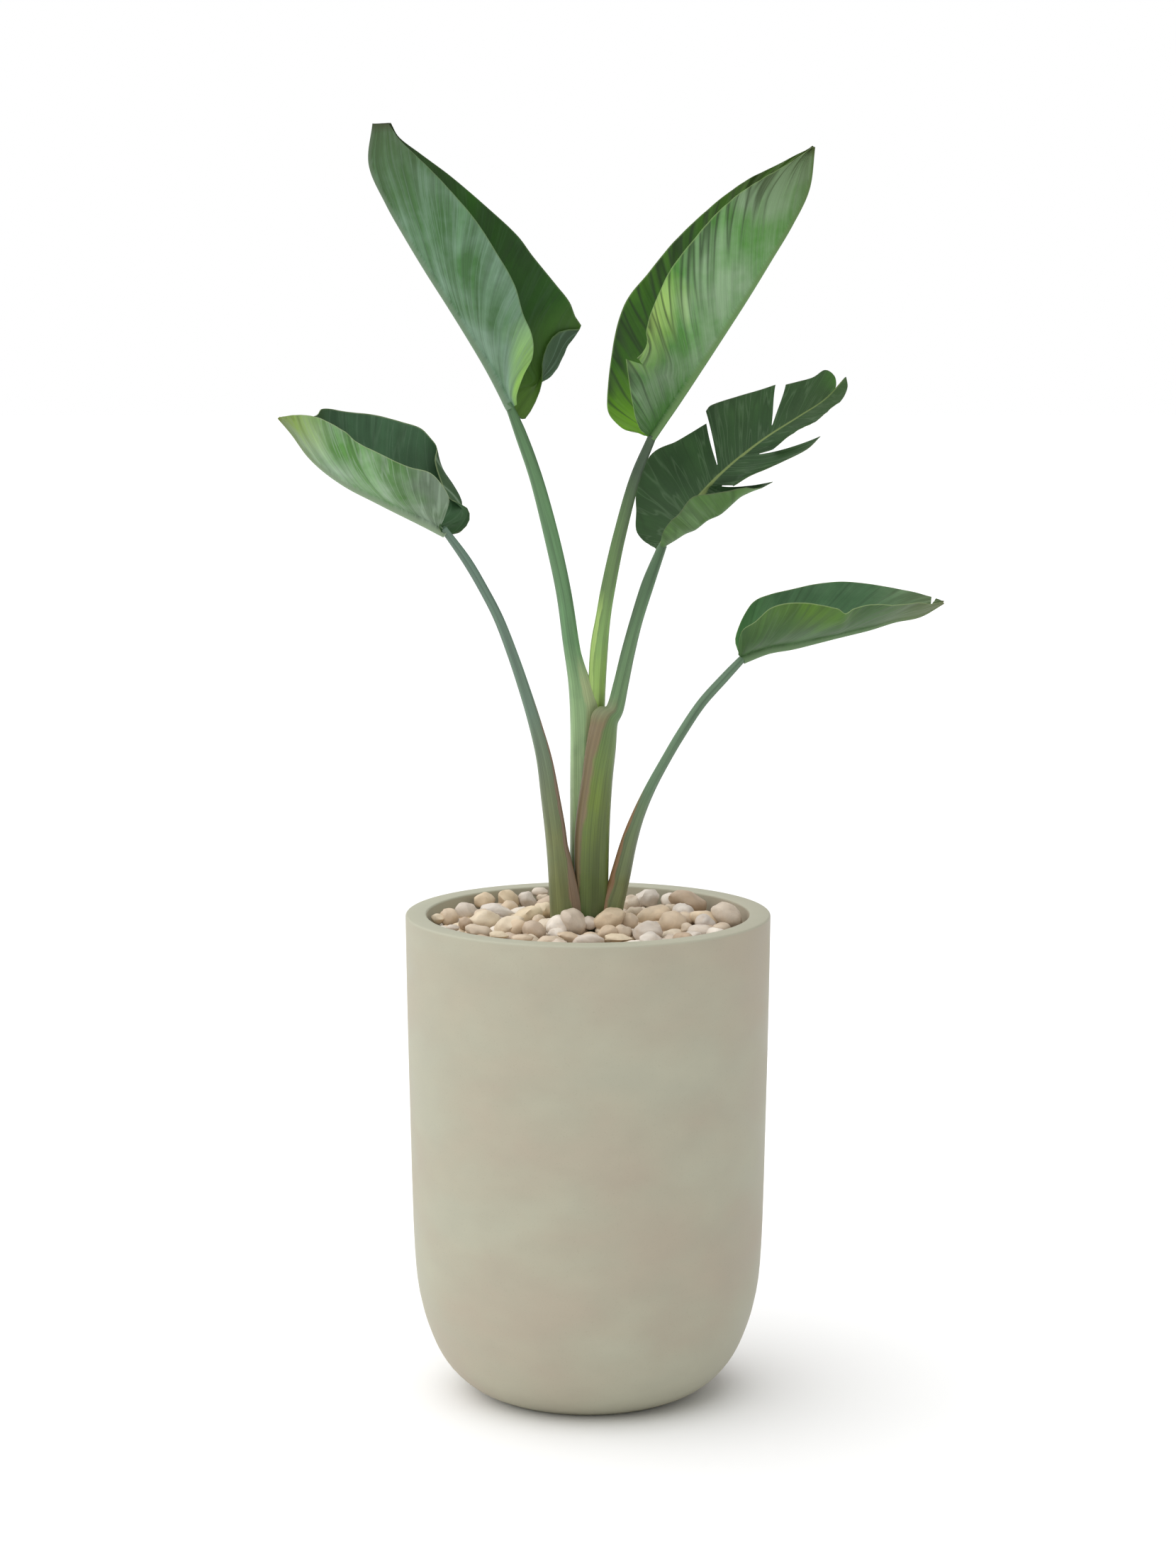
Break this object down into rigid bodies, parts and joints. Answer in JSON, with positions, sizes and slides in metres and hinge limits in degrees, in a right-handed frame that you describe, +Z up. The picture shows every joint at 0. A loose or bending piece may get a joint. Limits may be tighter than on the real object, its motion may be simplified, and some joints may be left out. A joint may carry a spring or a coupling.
{
  "type": "potted bird of paradise",
  "caption": "Potted bird of paradise: paddle leaves on long grooved stalks that clasp at the foot, in a round tapered stone pot topped with river pebbles.",
  "frame": {"origin": "centre of the pot's flat foot, on the surface that it stands on", "axes": "+Z up, -Y towards the front, from which the torn leaf shows its upper face, +X to the right"},
  "size_m": [0.8999, 0.5, 1.7362],
  "materials": {
    "pot": "matt cast stone, faintly clouded",
    "soil": "crumbly potting mix",
    "pebble": "smooth, water worn",
    "crown": "fibrous",
    "stalk": "smooth, waxy",
    "leaf": "leathery, satin"
  },
  "bodies": {
    "root": {"pot": "pot", "soil": "soil", "pebbles": "pebble", "crown": "crown", "stalk_low_right": "stalk", "stalk_low_left": "stalk", "stalk_mid_right": "stalk", "stalk_tall_left": "stalk", "stalk_tall_right": "stalk", "blade_tall_left": "leaf", "blade_tall_right": "leaf", "blade_mid_right": "leaf", "blade_low_left": "leaf", "blade_low_right": "leaf"}
  },
  "joints": []
}
